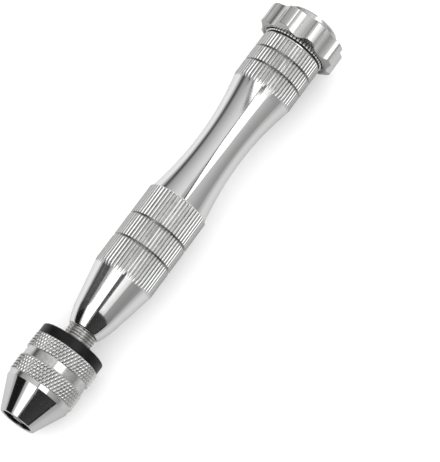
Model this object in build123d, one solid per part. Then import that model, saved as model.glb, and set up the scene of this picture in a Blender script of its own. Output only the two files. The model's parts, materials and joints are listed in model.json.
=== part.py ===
from build123d import *
import os
from math import cos, pi, radians, sin, tan

# Pin vise drill: a fluted metal handle with a keyless three-jaw chuck screwed on its nose and a
# lobed palm cap that spins on a ball bearing at its tail. All sizes are in millimetres.
#
# Every piece is modelled upright: the tool axis is the Z axis, and a height on it is a station,
# measured from the nose face towards the tail. lay_down() then lays the piece along +X, with the
# nose towards -X and two lobes of the cap touching the ground plane.

# Stations along the tool, from the nose face towards the tail.
CONE_END = 8.2
NOSE_RING_END = 9.6
FRONT_KNURL_END = 14.3
CHANNEL_END = 16.7
SLEEVE_END = 20.9
REAR_RING_START = 21.0
REAR_RING_END = 23.75
HANDLE_START = 27.8
OGIVE_END = 33.0
FRONT_GRIP_START = 45.0
FRONT_GROOVES = (52.5, 59.35)
FRONT_GRIP_END = 67.9
WAIST_STATION = 86.2
REAR_GRIP_START = 104.9
REAR_GROOVES = (109.25, 113.7)
HANDLE_END = 118.25
COLLAR_START = 118.7
COLLAR_END = 119.2
CAP_START = 118.95
CAP_END = 125.4
TOTAL_LENGTH = 127.7

# Chuck shell and knurled sleeve.
NOSE_R = 4.95
NOSE_OPENING_R = 4.0
NOSE_CHAMFER = 0.2
SHELL_R = 8.8
KNURL_R = 9.2
KNURL_CHAMFER = 0.25
SLEEVE_BORE_R = 7.5
SPIGOT_R = 8.1
SPIGOT_LENGTH = 1.4
SHELL_BEARING_R = 6.95
SHELL_BEARING_START = 6.5
SHELL_BEARING_END = 8.7
RUNNING_CLEARANCE = 0.05
CUTTER_REACH = 1.0

# Jaws: round bars on axes that meet at the centre of the nose face.
JAW_COUNT = 3
JAW_R = 2.0
JAW_TILT = 16.0
JAW_TIP = 0.6
JAW_LENGTH = 13.5
JAW_GRIP_R = 0.75
JAW_EDGE_R = 0.56
JAW_SIDE_ANGLE = 60.0
JAW_TOOTH_PITCH = 1.0
JAW_TOOTH_DEPTH = 0.35
JAW_TOOTH_DRAFT = 0.05
JAW_TEETH_START = 5.5
JAW_TOOTH_COUNT = 8
FIRST_JAW_ANGLE = 10.0

# Chuck body, the split nut that drives the jaws and its thrust washer.
BODY_FACE = 1.0
BODY_NOSE_CLEARANCE = 0.3
BODY_LAND_END = 9.0
BODY_LAND_CHAMFER = 0.35
NUT_START = 9.2
NUT_END = 12.2
NUT_SPLIT_GAP = 0.1
NUT_SEAT_R = 4.3
THRUST_WASHER_START = 12.25
THRUST_WASHER_END = 12.85
THRUST_WASHER_BORE_R = 5.95
THRUST_WASHER_R = 7.3
BODY_REAR_START = 12.9
BODY_REAR_R = 7.2
BODY_REAR_LAND_START = 18.6
BODY_HUB_R = 6.3
BIT_BORE_R = 1.9
JAW_BORE_LENGTH = 18.4
REAR_RING_R = 8.95
REAR_RING_CHAMFER = 0.5
REAR_RING_EDGE = 0.15

# Threaded spindle (M8 x 0.75) between the chuck and the handle.
SPINDLE_R = 4.0
SPINDLE_PITCH = 0.75
SPINDLE_THREAD_DEPTH = 0.4
SPINDLE_GROOVE_SHARE = 0.84
SPINDLE_CUTTER_LIFT = 0.05
SPINDLE_START = 18.2
SPINDLE_END = 38.0

# Handle.
HANDLE_TIP_R = 4.3
OGIVE_R = 6.08
OGIVE_MIDDLE = (5.30, 30.2)
GRIP_R = 8.42
GRIP_CHAMFER = 0.35
WAIST_R = 6.2
WAIST_FRONT_R = 8.0
FLUTE_COUNT = 54
FLUTE_R = 0.48
FLUTE_DEPTH = 0.28
FLUTE_RUN_OUT = 3.0
FLUTE_CUTTER_GAP = 0.01
GROOVE_WIDTH = 0.45
GROOVE_DEPTH = 0.4
TAIL_THREAD_R = 6.0
TAIL_THREAD_LENGTH = 8.0
TAIL_THREAD_CHAMFER = 0.5

# Tail plug with its beaded collar and O-ring.
COLLAR_R = 8.4
BEAD_COUNT = 52
BEAD_GAP_R = 0.3
NECK_R = 7.55
O_RING_R = 0.225
BOSS_R = 2.9
SCREW_HOLE_R = 1.0

# Ball bearing, 4 x 11 x 4.
BEARING_START = 120.3
BEARING_WIDTH = 4.0
BEARING_BORE_R = 2.0
BEARING_OUTER_R = 5.5
BALL_R = 0.794
BALL_COUNT = 8
BALL_CIRCLE_R = 3.75
RACE_GROOVE_R = 0.83
INNER_LAND_R = 3.2
OUTER_LAND_R = 4.3
CAGE_HALF_WIDTH = 1.05
CAGE_HALF_THICKNESS = 0.32
CAGE_POCKET_R = 0.84
SHIELD_THICKNESS = 0.2
SHIELD_INSET = 0.1
SHIELD_BORE_R = 3.35

# Screw and washer that hold the inner race on the tail plug.
WASHER_R = 2.8
WASHER_THICKNESS = 0.4
SCREW_HEAD_R = 1.9
SCREW_HEAD_HEIGHT = 1.2
SCREW_LENGTH = 7.0
SCREW_TIP_GAP = 0.5
SCREW_SLOT_WIDTH = 0.5
SCREW_SLOT_DEPTH = 0.6

# Lobed palm cap and the slotted plug that closes it.
LOBE_COUNT = 8
LOBE_R = 11.2
SCALLOP_DEPTH = 1.4
SCALLOP_R = 5.0
LOBE_ROUNDING = 1.0
CAP_BEVEL_HEIGHT = 0.92
CAP_BEVEL_R = 9.7
CAP_TOP_CHAMFER = 0.4
CAP_TURNED_R = 11.3
CAP_RECESS_R = 9.0
CAP_RECESS_END = 119.3
CAP_BOSS_CLEARANCE_R = 3.4
CAP_THREAD_R = 6.2
CAP_THREAD_START = 124.3
END_PLUG_R = 7.4
END_PLUG_CHAMFER = 0.5
END_PLUG_RECESS_R = 4.6
END_PLUG_RECESS_END = 126.5
END_SLOT_WIDTH = 1.5
END_SLOT_DEPTH = 0.8
END_SLOT_ANGLE = -16.0

TILT_TAN = tan(radians(JAW_TILT))
TILT_COS = cos(radians(JAW_TILT))
BEARING_END = BEARING_START + BEARING_WIDTH
BEARING_MIDDLE = BEARING_START + BEARING_WIDTH / 2
SHELL_SLOPE = (SHELL_R - NOSE_R) / CONE_END


def turned(*outline):
    """A solid turned about the tool axis from (radius, station) corners."""
    return turned_wire(Polyline(*outline, close=True))


def turned_wire(outline):
    """A solid turned about the tool axis from a closed outline of lines and arcs."""
    return revolve(Plane.XZ * make_face(outline), Axis.Z)


def tube(outer, inner, start, end):
    """A plain ring between two stations."""
    return turned((inner, start), (outer, start), (outer, end), (inner, end))


def rod(radius, start, end):
    """A plain round bar on the tool axis between two stations."""
    return Pos(0, 0, (start + end) / 2) * Cylinder(radius, end - start)


def shell_inner_radius(station):
    """The inside of the conical chuck shell."""
    return NOSE_OPENING_R + SHELL_SLOPE * station


def jaw_outer_radius(station):
    """The furthest that a jaw reaches from the tool axis at a station."""
    return station * TILT_TAN + JAW_R / TILT_COS


def chuck_nose_cone():
    """Conical shell with a plain ring behind it and a spigot that presses into the sleeve."""
    spigot_end = NOSE_RING_END + SPIGOT_LENGTH
    return turned(
        (NOSE_OPENING_R, NOSE_CHAMFER),
        (NOSE_OPENING_R + NOSE_CHAMFER, 0),
        (NOSE_R - NOSE_CHAMFER / 2, 0),
        (NOSE_R + NOSE_CHAMFER * SHELL_SLOPE, NOSE_CHAMFER),
        (SHELL_R, CONE_END),
        (SHELL_R, NOSE_RING_END),
        (SPIGOT_R, NOSE_RING_END),
        (SPIGOT_R, spigot_end),
        (SLEEVE_BORE_R, spigot_end),
        (SLEEVE_BORE_R, BODY_LAND_END),
        (SHELL_BEARING_R, SHELL_BEARING_END),
        (SHELL_BEARING_R, SHELL_BEARING_START),
    )


def chuck_sleeve():
    """The part that is turned by hand: two knurled bands with a plain channel between them."""
    spigot_end = NOSE_RING_END + SPIGOT_LENGTH
    band_corners = []
    for start, end in ((NOSE_RING_END, FRONT_KNURL_END), (CHANNEL_END, SLEEVE_END)):
        band_corners += [
            (KNURL_R - KNURL_CHAMFER, start),
            (KNURL_R, start + KNURL_CHAMFER),
            (KNURL_R, end - KNURL_CHAMFER),
            (KNURL_R - KNURL_CHAMFER, end),
        ]
    channel = [(SHELL_R, FRONT_KNURL_END), (SHELL_R, CHANNEL_END)]
    outside = band_corners[:4] + channel + band_corners[4:]
    inside = [
        (SLEEVE_BORE_R, SLEEVE_END),
        (SLEEVE_BORE_R, spigot_end),
        (SPIGOT_R, spigot_end),
        (SPIGOT_R, NOSE_RING_END),
    ]
    return turned(*outside, *inside)


def jaw_bar(radius, length):
    """A round bar on the jaw axis, which starts at the centre of the nose face."""
    return Rot(0, JAW_TILT, 0) * (Pos(0, 0, length / 2) * Cylinder(radius, length))


def jaw_tooth(station):
    """The ring that cuts one tooth gap across the back of a jaw."""
    root = jaw_outer_radius(station) - JAW_TOOTH_DEPTH
    rim = root + 2 * JAW_R
    half = JAW_TOOTH_PITCH / 2
    lean = (rim - root) * TILT_TAN
    return turned(
        (root, station),
        (rim, station - lean),
        (rim, station - lean + half),
        (root + JAW_TOOTH_DRAFT, station + half),
    )


def jaw(angle):
    """One hardened jaw at its rest opening, with a hollow-ground gripping face."""
    bar_end = (JAW_TIP + JAW_LENGTH * TILT_COS) / TILT_COS
    reach = 2 * JAW_R
    side = reach * tan(radians(JAW_SIDE_ANGLE))
    wedge_outline = Polyline((JAW_EDGE_R, 0), (JAW_EDGE_R + reach, side), (4 * JAW_R, side),
                             (4 * JAW_R, -side), (JAW_EDGE_R + reach, -side), close=True)
    wedge = Pos(0, 0, JAW_TIP) * extrude(make_face(wedge_outline), 2 * JAW_LENGTH)
    bar = jaw_bar(JAW_R, bar_end) & wedge
    bar -= rod(JAW_GRIP_R, 0, 2 * JAW_LENGTH)
    for tooth in range(JAW_TOOTH_COUNT):
        bar -= jaw_tooth(JAW_TEETH_START + tooth * JAW_TOOTH_PITCH)
    return Rot(0, 0, angle) * bar


def chuck_body():
    """The core of the chuck: guides the jaws and screws on the spindle."""
    nose_r = shell_inner_radius(BODY_FACE) - BODY_NOSE_CLEARANCE
    land_r = SHELL_BEARING_R - RUNNING_CLEARANCE
    cone_end = BODY_FACE + (land_r - nose_r) / SHELL_SLOPE
    rear_land_r = SLEEVE_BORE_R - RUNNING_CLEARANCE
    core = turned(
        (0, BODY_FACE),
        (nose_r, BODY_FACE),
        (land_r, cone_end),
        (land_r, BODY_LAND_END - BODY_LAND_CHAMFER),
        (land_r - BODY_LAND_CHAMFER, BODY_LAND_END),
        (NUT_SEAT_R, BODY_LAND_END),
        (NUT_SEAT_R, BODY_REAR_START),
        (BODY_REAR_R, BODY_REAR_START),
        (BODY_REAR_R, BODY_REAR_LAND_START),
        (rear_land_r, BODY_REAR_LAND_START),
        (rear_land_r, REAR_RING_START),
        (BODY_HUB_R, REAR_RING_START),
        (BODY_HUB_R, REAR_RING_END),
        (0, REAR_RING_END),
    )
    core -= rod(BIT_BORE_R, 0, SPINDLE_START)
    core -= rod(SPINDLE_R, SPINDLE_START, REAR_RING_END)
    for index in range(JAW_COUNT):
        bore = jaw_bar(JAW_R + RUNNING_CLEARANCE, JAW_BORE_LENGTH)
        core -= Rot(0, 0, jaw_angle(index)) * bore
    return core


def jaw_angle(index):
    """Where a jaw sits around the tool axis."""
    return FIRST_JAW_ANGLE + index * 360 / JAW_COUNT


def nut_half(side):
    """Half of the split nut in the sleeve. Its tapered bore runs on the backs of the jaws."""
    ring = turned(
        (jaw_outer_radius(NUT_START) + RUNNING_CLEARANCE, NUT_START),
        (SLEEVE_BORE_R, NUT_START),
        (SLEEVE_BORE_R, NUT_END),
        (jaw_outer_radius(NUT_END) + RUNNING_CLEARANCE, NUT_END),
    )
    reach = 2 * SLEEVE_BORE_R
    keep = Pos(0, side * (reach + NUT_SPLIT_GAP) / 2, NUT_START + reach / 2) * Box(2 * reach, reach, 2 * reach)
    return ring & keep


def thrust_washer():
    """Takes the push of the nut against the chuck body."""
    return tube(THRUST_WASHER_R, THRUST_WASHER_BORE_R, THRUST_WASHER_START, THRUST_WASHER_END)


def chuck_rear_ring():
    """Black ring pressed on the hub of the chuck body, behind the sleeve."""
    return turned(
        (BODY_HUB_R, REAR_RING_START),
        (REAR_RING_R - REAR_RING_EDGE, REAR_RING_START),
        (REAR_RING_R, REAR_RING_START + REAR_RING_EDGE),
        (REAR_RING_R, REAR_RING_END - REAR_RING_CHAMFER),
        (REAR_RING_R - REAR_RING_CHAMFER, REAR_RING_END),
        (BODY_HUB_R, REAR_RING_END),
    )


def chuck_spindle():
    """Threaded stud. The thread shows between the chuck and the handle as ring grooves."""
    stud = chamfer(rod(SPINDLE_R, SPINDLE_START, SPINDLE_END).edges(), SPINDLE_THREAD_DEPTH)
    root = SPINDLE_R - SPINDLE_THREAD_DEPTH
    half = SPINDLE_GROOVE_SHARE * SPINDLE_PITCH / 2
    rim = SPINDLE_R + SPINDLE_CUTTER_LIFT
    turns = int((HANDLE_START - REAR_RING_END) / SPINDLE_PITCH)
    spare = HANDLE_START - REAR_RING_END - turns * SPINDLE_PITCH
    for turn in range(turns):
        middle = REAR_RING_END + spare / 2 + (turn + 0.5) * SPINDLE_PITCH
        stud -= turned((root, middle), (rim, middle - half), (rim, middle + half))
    return stud


def fluted_ring(start, end):
    """What the flutes cut away from a grip band between two stations."""
    outline = Circle(GRIP_R + CUTTER_REACH) - Circle(GRIP_R + FLUTE_CUTTER_GAP)
    centre = GRIP_R - FLUTE_DEPTH + FLUTE_R
    flutes = PolarLocations(centre, FLUTE_COUNT) * Circle(FLUTE_R)
    return Pos(0, 0, start) * extrude(outline + flutes, end - start)


def handle_outline():
    """The handle's turned profile, from the tip to the tail, closed along the tool axis."""
    tip = (HANDLE_TIP_R, HANDLE_START)
    ogive_end = (OGIVE_R, OGIVE_END)
    waist_start = (WAIST_FRONT_R, FRONT_GRIP_END + GRIP_CHAMFER)
    waist = (WAIST_R, WAIST_STATION)
    rear_grip = (GRIP_R, REAR_GRIP_START)
    return (
        Line((0, HANDLE_START), tip)
        + ThreePointArc(tip, OGIVE_MIDDLE, ogive_end)
        + Line(ogive_end, (GRIP_R, FRONT_GRIP_START))
        + Line((GRIP_R, FRONT_GRIP_START), (GRIP_R, FRONT_GRIP_END))
        + Line((GRIP_R, FRONT_GRIP_END), waist_start)
        + TangentArc(waist, waist_start, tangent=(0, -1))
        + TangentArc(waist, rear_grip, tangent=(0, 1))
        + Line(rear_grip, (GRIP_R, HANDLE_END - GRIP_CHAMFER))
        + Line((GRIP_R, HANDLE_END - GRIP_CHAMFER), (GRIP_R - GRIP_CHAMFER, HANDLE_END))
        + Line((GRIP_R - GRIP_CHAMFER, HANDLE_END), (0, HANDLE_END))
        + Line((0, HANDLE_END), (0, HANDLE_START))
    )


def handle_body():
    """Turned handle with two fluted grip bands, a waist, and a threaded hole at each end."""
    handle = turned_wire(handle_outline())
    for station in FRONT_GROOVES + REAR_GROOVES:
        half = GROOVE_WIDTH / 2
        handle -= tube(GRIP_R + CUTTER_REACH, GRIP_R - GROOVE_DEPTH, station - half, station + half)
    handle -= fluted_ring(FRONT_GRIP_START - FLUTE_RUN_OUT, FRONT_GRIP_END + CUTTER_REACH)
    handle -= fluted_ring(REAR_GRIP_START - FLUTE_RUN_OUT, HANDLE_END)
    handle -= rod(SPINDLE_R, HANDLE_START, SPINDLE_END)
    handle -= rod(TAIL_THREAD_R, HANDLE_END - TAIL_THREAD_LENGTH, HANDLE_END)
    return handle


def tail_plug():
    """Screws into the tail of the handle and carries the bearing. Its thin collar is beaded."""
    start = HANDLE_END - TAIL_THREAD_LENGTH
    stem = turned(
        (0, start),
        (TAIL_THREAD_R - TAIL_THREAD_CHAMFER, start),
        (TAIL_THREAD_R, start + TAIL_THREAD_CHAMFER),
        (TAIL_THREAD_R, HANDLE_END),
        (NECK_R, HANDLE_END),
        (NECK_R, COLLAR_START),
        (0, COLLAR_START),
    )
    beads = Circle(COLLAR_R) - PolarLocations(COLLAR_R + BEAD_GAP_R / 2, BEAD_COUNT) * Circle(BEAD_GAP_R)
    collar = Pos(0, 0, COLLAR_START) * extrude(beads, COLLAR_END - COLLAR_START)
    boss = rod(BOSS_R, COLLAR_END, BEARING_START)
    stub = rod(BEARING_BORE_R, BEARING_START, BEARING_END)
    hole = rod(SCREW_HOLE_R, BEARING_END - SCREW_LENGTH, BEARING_END)
    return stem + collar + boss + stub - hole


def tail_o_ring():
    """Black seal squeezed between the handle and the collar."""
    return Pos(0, 0, (HANDLE_END + COLLAR_START) / 2) * Torus(NECK_R + O_RING_R, O_RING_R)


def race_groove():
    """The ball track that both races share."""
    return Pos(0, 0, BEARING_MIDDLE) * Torus(BALL_CIRCLE_R, RACE_GROOVE_R)


def bearing_inner_race():
    return tube(INNER_LAND_R, BEARING_BORE_R, BEARING_START, BEARING_END) - race_groove()


def bearing_outer_race():
    """Outer race with a step at each face that seats a shield."""
    race = tube(BEARING_OUTER_R, OUTER_LAND_R, BEARING_START, BEARING_END) - race_groove()
    seat_depth = SHIELD_INSET + SHIELD_THICKNESS
    for start in (BEARING_START, BEARING_END - seat_depth):
        race -= rod(OUTER_LAND_R + SHIELD_INSET, start, start + seat_depth)
    return race


def bearing_shield(start):
    return tube(OUTER_LAND_R + SHIELD_INSET, SHIELD_BORE_R, start, start + SHIELD_THICKNESS)


def around_ball_circle(shape):
    """Copies of a shape at every ball's place, with the shape's X axis pointing outwards."""
    centre = Pos(0, 0, BEARING_MIDDLE)
    return [centre * place * shape for place in PolarLocations(BALL_CIRCLE_R, BALL_COUNT)]


def bearing_balls():
    return Compound(children=around_ball_circle(Sphere(BALL_R)))


def bearing_cage():
    """Ring with a round pocket for each ball."""
    cage = tube(BALL_CIRCLE_R + CAGE_HALF_THICKNESS, BALL_CIRCLE_R - CAGE_HALF_THICKNESS,
                BEARING_MIDDLE - CAGE_HALF_WIDTH, BEARING_MIDDLE + CAGE_HALF_WIDTH)
    drill = Rot(0, 90, 0) * Cylinder(CAGE_POCKET_R, 4 * CAGE_HALF_THICKNESS)
    for pocket in around_ball_circle(drill):
        cage -= pocket
    return cage


def retaining_washer():
    return tube(WASHER_R, SCREW_HOLE_R, BEARING_END, BEARING_END + WASHER_THICKNESS)


def retaining_screw():
    """Slotted cheese-head screw that holds the inner race."""
    head_start = BEARING_END + WASHER_THICKNESS
    head_end = head_start + SCREW_HEAD_HEIGHT
    head = rod(SCREW_HEAD_R, head_start, head_end)
    shank = rod(SCREW_HOLE_R, BEARING_END - SCREW_LENGTH + SCREW_TIP_GAP, head_start)
    slot = Pos(0, 0, head_end) * Box(3 * SCREW_HEAD_R, SCREW_SLOT_WIDTH, 2 * SCREW_SLOT_DEPTH)
    return head + shank - slot


def cap_outline():
    """The lobed outline of the palm cap. A scallop faces +X, which ends up underneath."""
    scallop_centre = LOBE_R - SCALLOP_DEPTH + SCALLOP_R
    outline = Circle(LOBE_R) - PolarLocations(scallop_centre, LOBE_COUNT) * Circle(SCALLOP_R)
    return fillet(outline.vertices(), LOBE_ROUNDING)


def swivel_cap():
    """Palm cap: lobed rim, bevelled and recessed underneath, bored for the bearing and its plug."""
    prism = Pos(0, 0, CAP_START) * extrude(cap_outline(), CAP_END - CAP_START)
    envelope = turned(
        (0, CAP_START),
        (CAP_BEVEL_R, CAP_START),
        (CAP_TURNED_R, CAP_START + CAP_BEVEL_HEIGHT),
        (CAP_TURNED_R, CAP_END - CAP_TOP_CHAMFER),
        (LOBE_R - CAP_TOP_CHAMFER, CAP_END),
        (0, CAP_END),
    )
    cap = prism & envelope
    cap -= rod(CAP_RECESS_R, CAP_START, CAP_RECESS_END)
    cap -= rod(CAP_BOSS_CLEARANCE_R, CAP_RECESS_END, BEARING_START)
    cap -= rod(BEARING_OUTER_R, BEARING_START, CAP_THREAD_START)
    cap -= rod(CAP_THREAD_R, CAP_THREAD_START, CAP_END)
    return cap


def end_plug():
    """Slotted plug that screws into the cap and traps the bearing's outer race."""
    plug = turned(
        (END_PLUG_RECESS_R, CAP_THREAD_START),
        (CAP_THREAD_R, CAP_THREAD_START),
        (CAP_THREAD_R, CAP_END),
        (END_PLUG_R, CAP_END),
        (END_PLUG_R, TOTAL_LENGTH - END_PLUG_CHAMFER),
        (END_PLUG_R - END_PLUG_CHAMFER, TOTAL_LENGTH),
        (0, TOTAL_LENGTH),
        (0, END_PLUG_RECESS_END),
        (END_PLUG_RECESS_R, END_PLUG_RECESS_END),
    )
    slot = Box(3 * END_PLUG_R, END_SLOT_WIDTH, 2 * END_SLOT_DEPTH)
    return plug - Pos(0, 0, TOTAL_LENGTH) * Rot(0, 0, END_SLOT_ANGLE) * slot


def lay_down(shape, axis_height):
    """From the upright model to the row frame: lying along +X on the ground plane."""
    return Pos(-TOTAL_LENGTH / 2, 0, axis_height) * Rot(0, 90, 0) * shape


def make_pieces():
    """Every piece of the tool, upright, by the name of its node."""
    pieces = {
        "chuck_nose_cone": chuck_nose_cone(),
        "chuck_sleeve": chuck_sleeve(),
        "nut_half_upper": nut_half(1),
        "nut_half_lower": nut_half(-1),
        "chuck_body": chuck_body(),
        "thrust_washer": thrust_washer(),
        "chuck_rear_ring": chuck_rear_ring(),
        "chuck_spindle": chuck_spindle(),
        "handle_body": handle_body(),
        "tail_plug": tail_plug(),
        "tail_o_ring": tail_o_ring(),
        "bearing_inner_race": bearing_inner_race(),
        "bearing_outer_race": bearing_outer_race(),
        "bearing_balls": bearing_balls(),
        "bearing_cage": bearing_cage(),
        "bearing_shield_front": bearing_shield(BEARING_START + SHIELD_INSET),
        "bearing_shield_rear": bearing_shield(BEARING_END - SHIELD_INSET - SHIELD_THICKNESS),
        "retaining_washer": retaining_washer(),
        "retaining_screw": retaining_screw(),
        "swivel_cap": swivel_cap(),
        "end_plug": end_plug(),
    }
    for index in range(JAW_COUNT):
        pieces[f"jaw_{index + 1}"] = jaw(jaw_angle(index))
    return pieces


def main():
    os.makedirs("parts", exist_ok=True)
    axis_height = cap_outline().bounding_box().max.X
    print(f"axis height {axis_height:.4f}")
    for name, piece in make_pieces().items():
        export_step(lay_down(piece, axis_height), f"parts/{name}.step")


main()
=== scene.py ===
import json
from math import acos, atan2, cos, hypot, pi, radians, sin, sqrt, tan

import bmesh
import bpy
from mathutils import Matrix, Vector


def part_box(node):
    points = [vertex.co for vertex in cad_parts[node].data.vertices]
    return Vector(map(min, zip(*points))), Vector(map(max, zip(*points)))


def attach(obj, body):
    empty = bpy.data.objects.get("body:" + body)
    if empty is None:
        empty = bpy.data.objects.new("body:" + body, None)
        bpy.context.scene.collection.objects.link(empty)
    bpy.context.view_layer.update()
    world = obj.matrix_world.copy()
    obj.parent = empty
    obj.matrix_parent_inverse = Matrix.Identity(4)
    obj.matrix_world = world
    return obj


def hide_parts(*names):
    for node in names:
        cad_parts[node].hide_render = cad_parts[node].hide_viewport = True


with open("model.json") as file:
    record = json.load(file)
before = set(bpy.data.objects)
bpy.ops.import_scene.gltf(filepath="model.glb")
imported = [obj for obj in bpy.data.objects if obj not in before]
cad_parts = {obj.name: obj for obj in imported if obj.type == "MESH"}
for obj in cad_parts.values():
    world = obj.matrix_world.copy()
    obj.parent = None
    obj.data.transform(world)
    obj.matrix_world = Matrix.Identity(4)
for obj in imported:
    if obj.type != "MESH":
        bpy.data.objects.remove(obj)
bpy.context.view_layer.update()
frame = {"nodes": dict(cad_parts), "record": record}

# Lengths are in millimetres and stations are measured from the nose face towards the tail.
# place() turns them into the frame's metres.
MM = 0.001
HANDLE_LOW, HANDLE_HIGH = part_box("handle_body")
NOSE_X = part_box("chuck_nose_cone")[0][0]
AXIS_Z = (HANDLE_LOW[2] + HANDLE_HIGH[2]) / 2


def span(node):
    """Where a CAD node starts and ends along the tool."""
    low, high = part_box(node)
    return (low[0] - NOSE_X) / MM, (high[0] - NOSE_X) / MM


def outer_radius(node):
    """The largest radius of a CAD node about the tool axis."""
    low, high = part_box(node)
    return (high[1] - low[1]) / 2 / MM


def place(station, radius, angle):
    """A point of the frame. Angle 0 is underneath the tool, and 90 degrees is towards +Y."""
    return (NOSE_X + station * MM, radius * MM * sin(angle), AXIS_Z - radius * MM * cos(angle))


def grey(level):
    return level, level, level


# Chuck shell and sleeve.
CONE_END = 8.2
NOSE_RING_END, SLEEVE_END = span("chuck_sleeve")
FRONT_KNURL_END = 14.3
CHANNEL_END = 16.7
CHANNEL_FILLET = 0.08
NOSE_R = 4.95
NOSE_OPENING_R = 4.0
SHELL_R = outer_radius("chuck_nose_cone")
CHANNEL_R = SHELL_R - 0.05
SHELL_BEARING_R = 6.95
SHELL_BEARING_START = 6.5
SHELL_BEARING_END = 8.7
BODY_LAND_END = 9.0
KNURL_R = outer_radius("chuck_sleeve")
KNURL_CHAMFER = 0.25
KNURL_DEPTH = 0.28
KNURL_COUNT = 58
KNURL_LENGTH = 1.75
SECOND_KNURL = 0.82
KNURL_CREST = 0.12
KNURL_FLANK = 0.84
# How much painted shade the plain channel between the knurled bands gets, from 0 to 1.
CHANNEL_SHADE = 0.52
SLEEVE_BORE_R = 7.5
SPIGOT_R = 8.1
SPIGOT_END = span("chuck_nose_cone")[1]

# Black ring and spindle.
REAR_RING_START, REAR_RING_END = span("chuck_rear_ring")
REAR_RING_R = outer_radius("chuck_rear_ring")
REAR_RING_BORE_R = 6.3
SPINDLE_START, SPINDLE_END = span("chuck_spindle")
SPINDLE_R = outer_radius("chuck_spindle")
THREAD_PITCH = 0.75
THREAD_DEPTH = 0.4

# Handle.
HANDLE_START, HANDLE_END = span("handle_body")
HANDLE_TIP_R = 4.3
OGIVE_MIDDLE = (30.2, 5.30)
OGIVE_END = (33.0, 6.08)
FRONT_GRIP_START = 45.0
FRONT_GRIP_END = 67.9
FRONT_GROOVES = (52.5, 59.35)
GRIP_R = outer_radius("handle_body")
CONE_SLOPE = (GRIP_R - OGIVE_END[1]) / (FRONT_GRIP_START - OGIVE_END[0])
GRIP_CHAMFER = 0.35
WAIST_FRONT_R = 8.0
WAIST = (86.2, 6.2)
REAR_GRIP_START = 104.9
REAR_GROOVES = (109.25, 113.7)
FLUTE_COUNT = 54
FLUTE_R = 0.48
FLUTE_DEPTH = 0.28
FLUTE_FLOOR_R = GRIP_R - FLUTE_DEPTH
FLUTE_CENTRE_R = FLUTE_FLOOR_R + FLUTE_R
GROOVE_WIDTH = 0.45
GROOVE_DEPTH = 0.4
GROOVE_CHAMFER = 0.40
GROOVE_CHAMFER_DROP = 0.19
GROOVE_REAR_CHAMFER = 0.03
FLUTES_FULL = 0.12
BEFORE_FLUTES = 0.15
TAIL_RIM = 0.4
TAIL_RIM_R = FLUTE_FLOOR_R - 0.02
TAIL_RIM_ROUNDING = 0.12
TAIL_THREAD_R = 6.0
TAIL_THREAD_LENGTH = 8.0

# Tail plug, its beaded collar and its seal.
COLLAR_START = 118.7
COLLAR_END = 119.2
COLLAR_R = outer_radius("tail_plug")
BEAD_COUNT = 52
BEAD_WIDTH = 0.62
BEAD_HEIGHT = 0.34
NECK_R = 7.55
BOSS_R = 2.9
BEARING_START, BEARING_END = span("bearing_outer_race")
BEARING_BORE_R = 2.0
BEARING_OUTER_R = 5.5
SCREW_HOLE_R = 1.0
SCREW_LENGTH = 7.0

# Palm cap and its end plug.
CAP_START, CAP_END = span("swivel_cap")
LOBE_COUNT = 8
LOBE_R = 11.2
SCALLOP_DEPTH = 1.4
SCALLOP_R = 5.0
LOBE_ROUNDING = 1.0
LOBE_CORNER_R = LOBE_R - LOBE_ROUNDING
SCALLOP_CENTRE_R = LOBE_R - SCALLOP_DEPTH + SCALLOP_R
CAP_BEVEL_HEIGHT = 0.92
CAP_BEVEL_R = 9.7
CAP_TURNED_R = LOBE_R + 0.1
CAP_BEVEL_SLOPE = CAP_BEVEL_HEIGHT / (CAP_TURNED_R - CAP_BEVEL_R)
CAP_TOP_CHAMFER = 0.4
CAP_TOP_R = LOBE_R - CAP_TOP_CHAMFER
CAP_EDGE = 0.06
CAP_BOSS_CLEARANCE_R = 3.4
CAP_RECESS_R = 9.0
CAP_RECESS_END = 119.3
CAP_THREAD_R = 6.2
TOTAL_LENGTH = span("end_plug")[1]
END_PLUG_R = outer_radius("end_plug")
END_PLUG_CHAMFER = 0.5
END_PLUG_RECESS_R = 4.6
END_PLUG_RECESS_END = 126.5
END_SLOT_WIDTH = 1.5
END_SLOT_DEPTH = 0.8
END_SLOT_ANGLE = -16.0

# How far the rings that keep an edge or a flat in shape stand from it, and the columns of a plain piece.
SUPPORT = 0.05
NEAR = 0.02
FINE = 256


# ---- outlines

def arc_about(centre, start, end, steps):
    """Points along the shorter arc about a centre, with both of its ends."""
    first = atan2(start[1] - centre[1], start[0] - centre[0])
    turn = (atan2(end[1] - centre[1], end[0] - centre[0]) - first + pi) % (2 * pi) - pi
    radius = hypot(start[0] - centre[0], start[1] - centre[1])
    angles = [first + turn * step / steps for step in range(steps + 1)]
    return [(centre[0] + radius * cos(angle), centre[1] + radius * sin(angle)) for angle in angles]


def rounded(corners, steps=4):
    """An outline of (station, radius, rounding) corners with every rounding drawn as an arc.

    A point close to each end of an arc keeps the flats flat when the surface is shaded smooth.
    """
    points = []
    for index, corner in enumerate(corners):
        here = Vector(corner[:2])
        rounding = corner[2] if len(corner) > 2 else 0.0
        if rounding == 0.0 or index in (0, len(corners) - 1):
            points.append(tuple(here))
            continue
        before = (Vector(corners[index - 1][:2]) - here).normalized()
        after = (Vector(corners[index + 1][:2]) - here).normalized()
        half = before.angle(after) / 2
        reach = rounding / tan(half)
        centre = here + (before + after).normalized() * (rounding / sin(half))
        first = here + before * reach
        last = here + after * reach
        points.append(tuple(first + before * SUPPORT))
        points += arc_about(centre, first, last, steps)
        points.append(tuple(last + after * SUPPORT))
    return points


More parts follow.
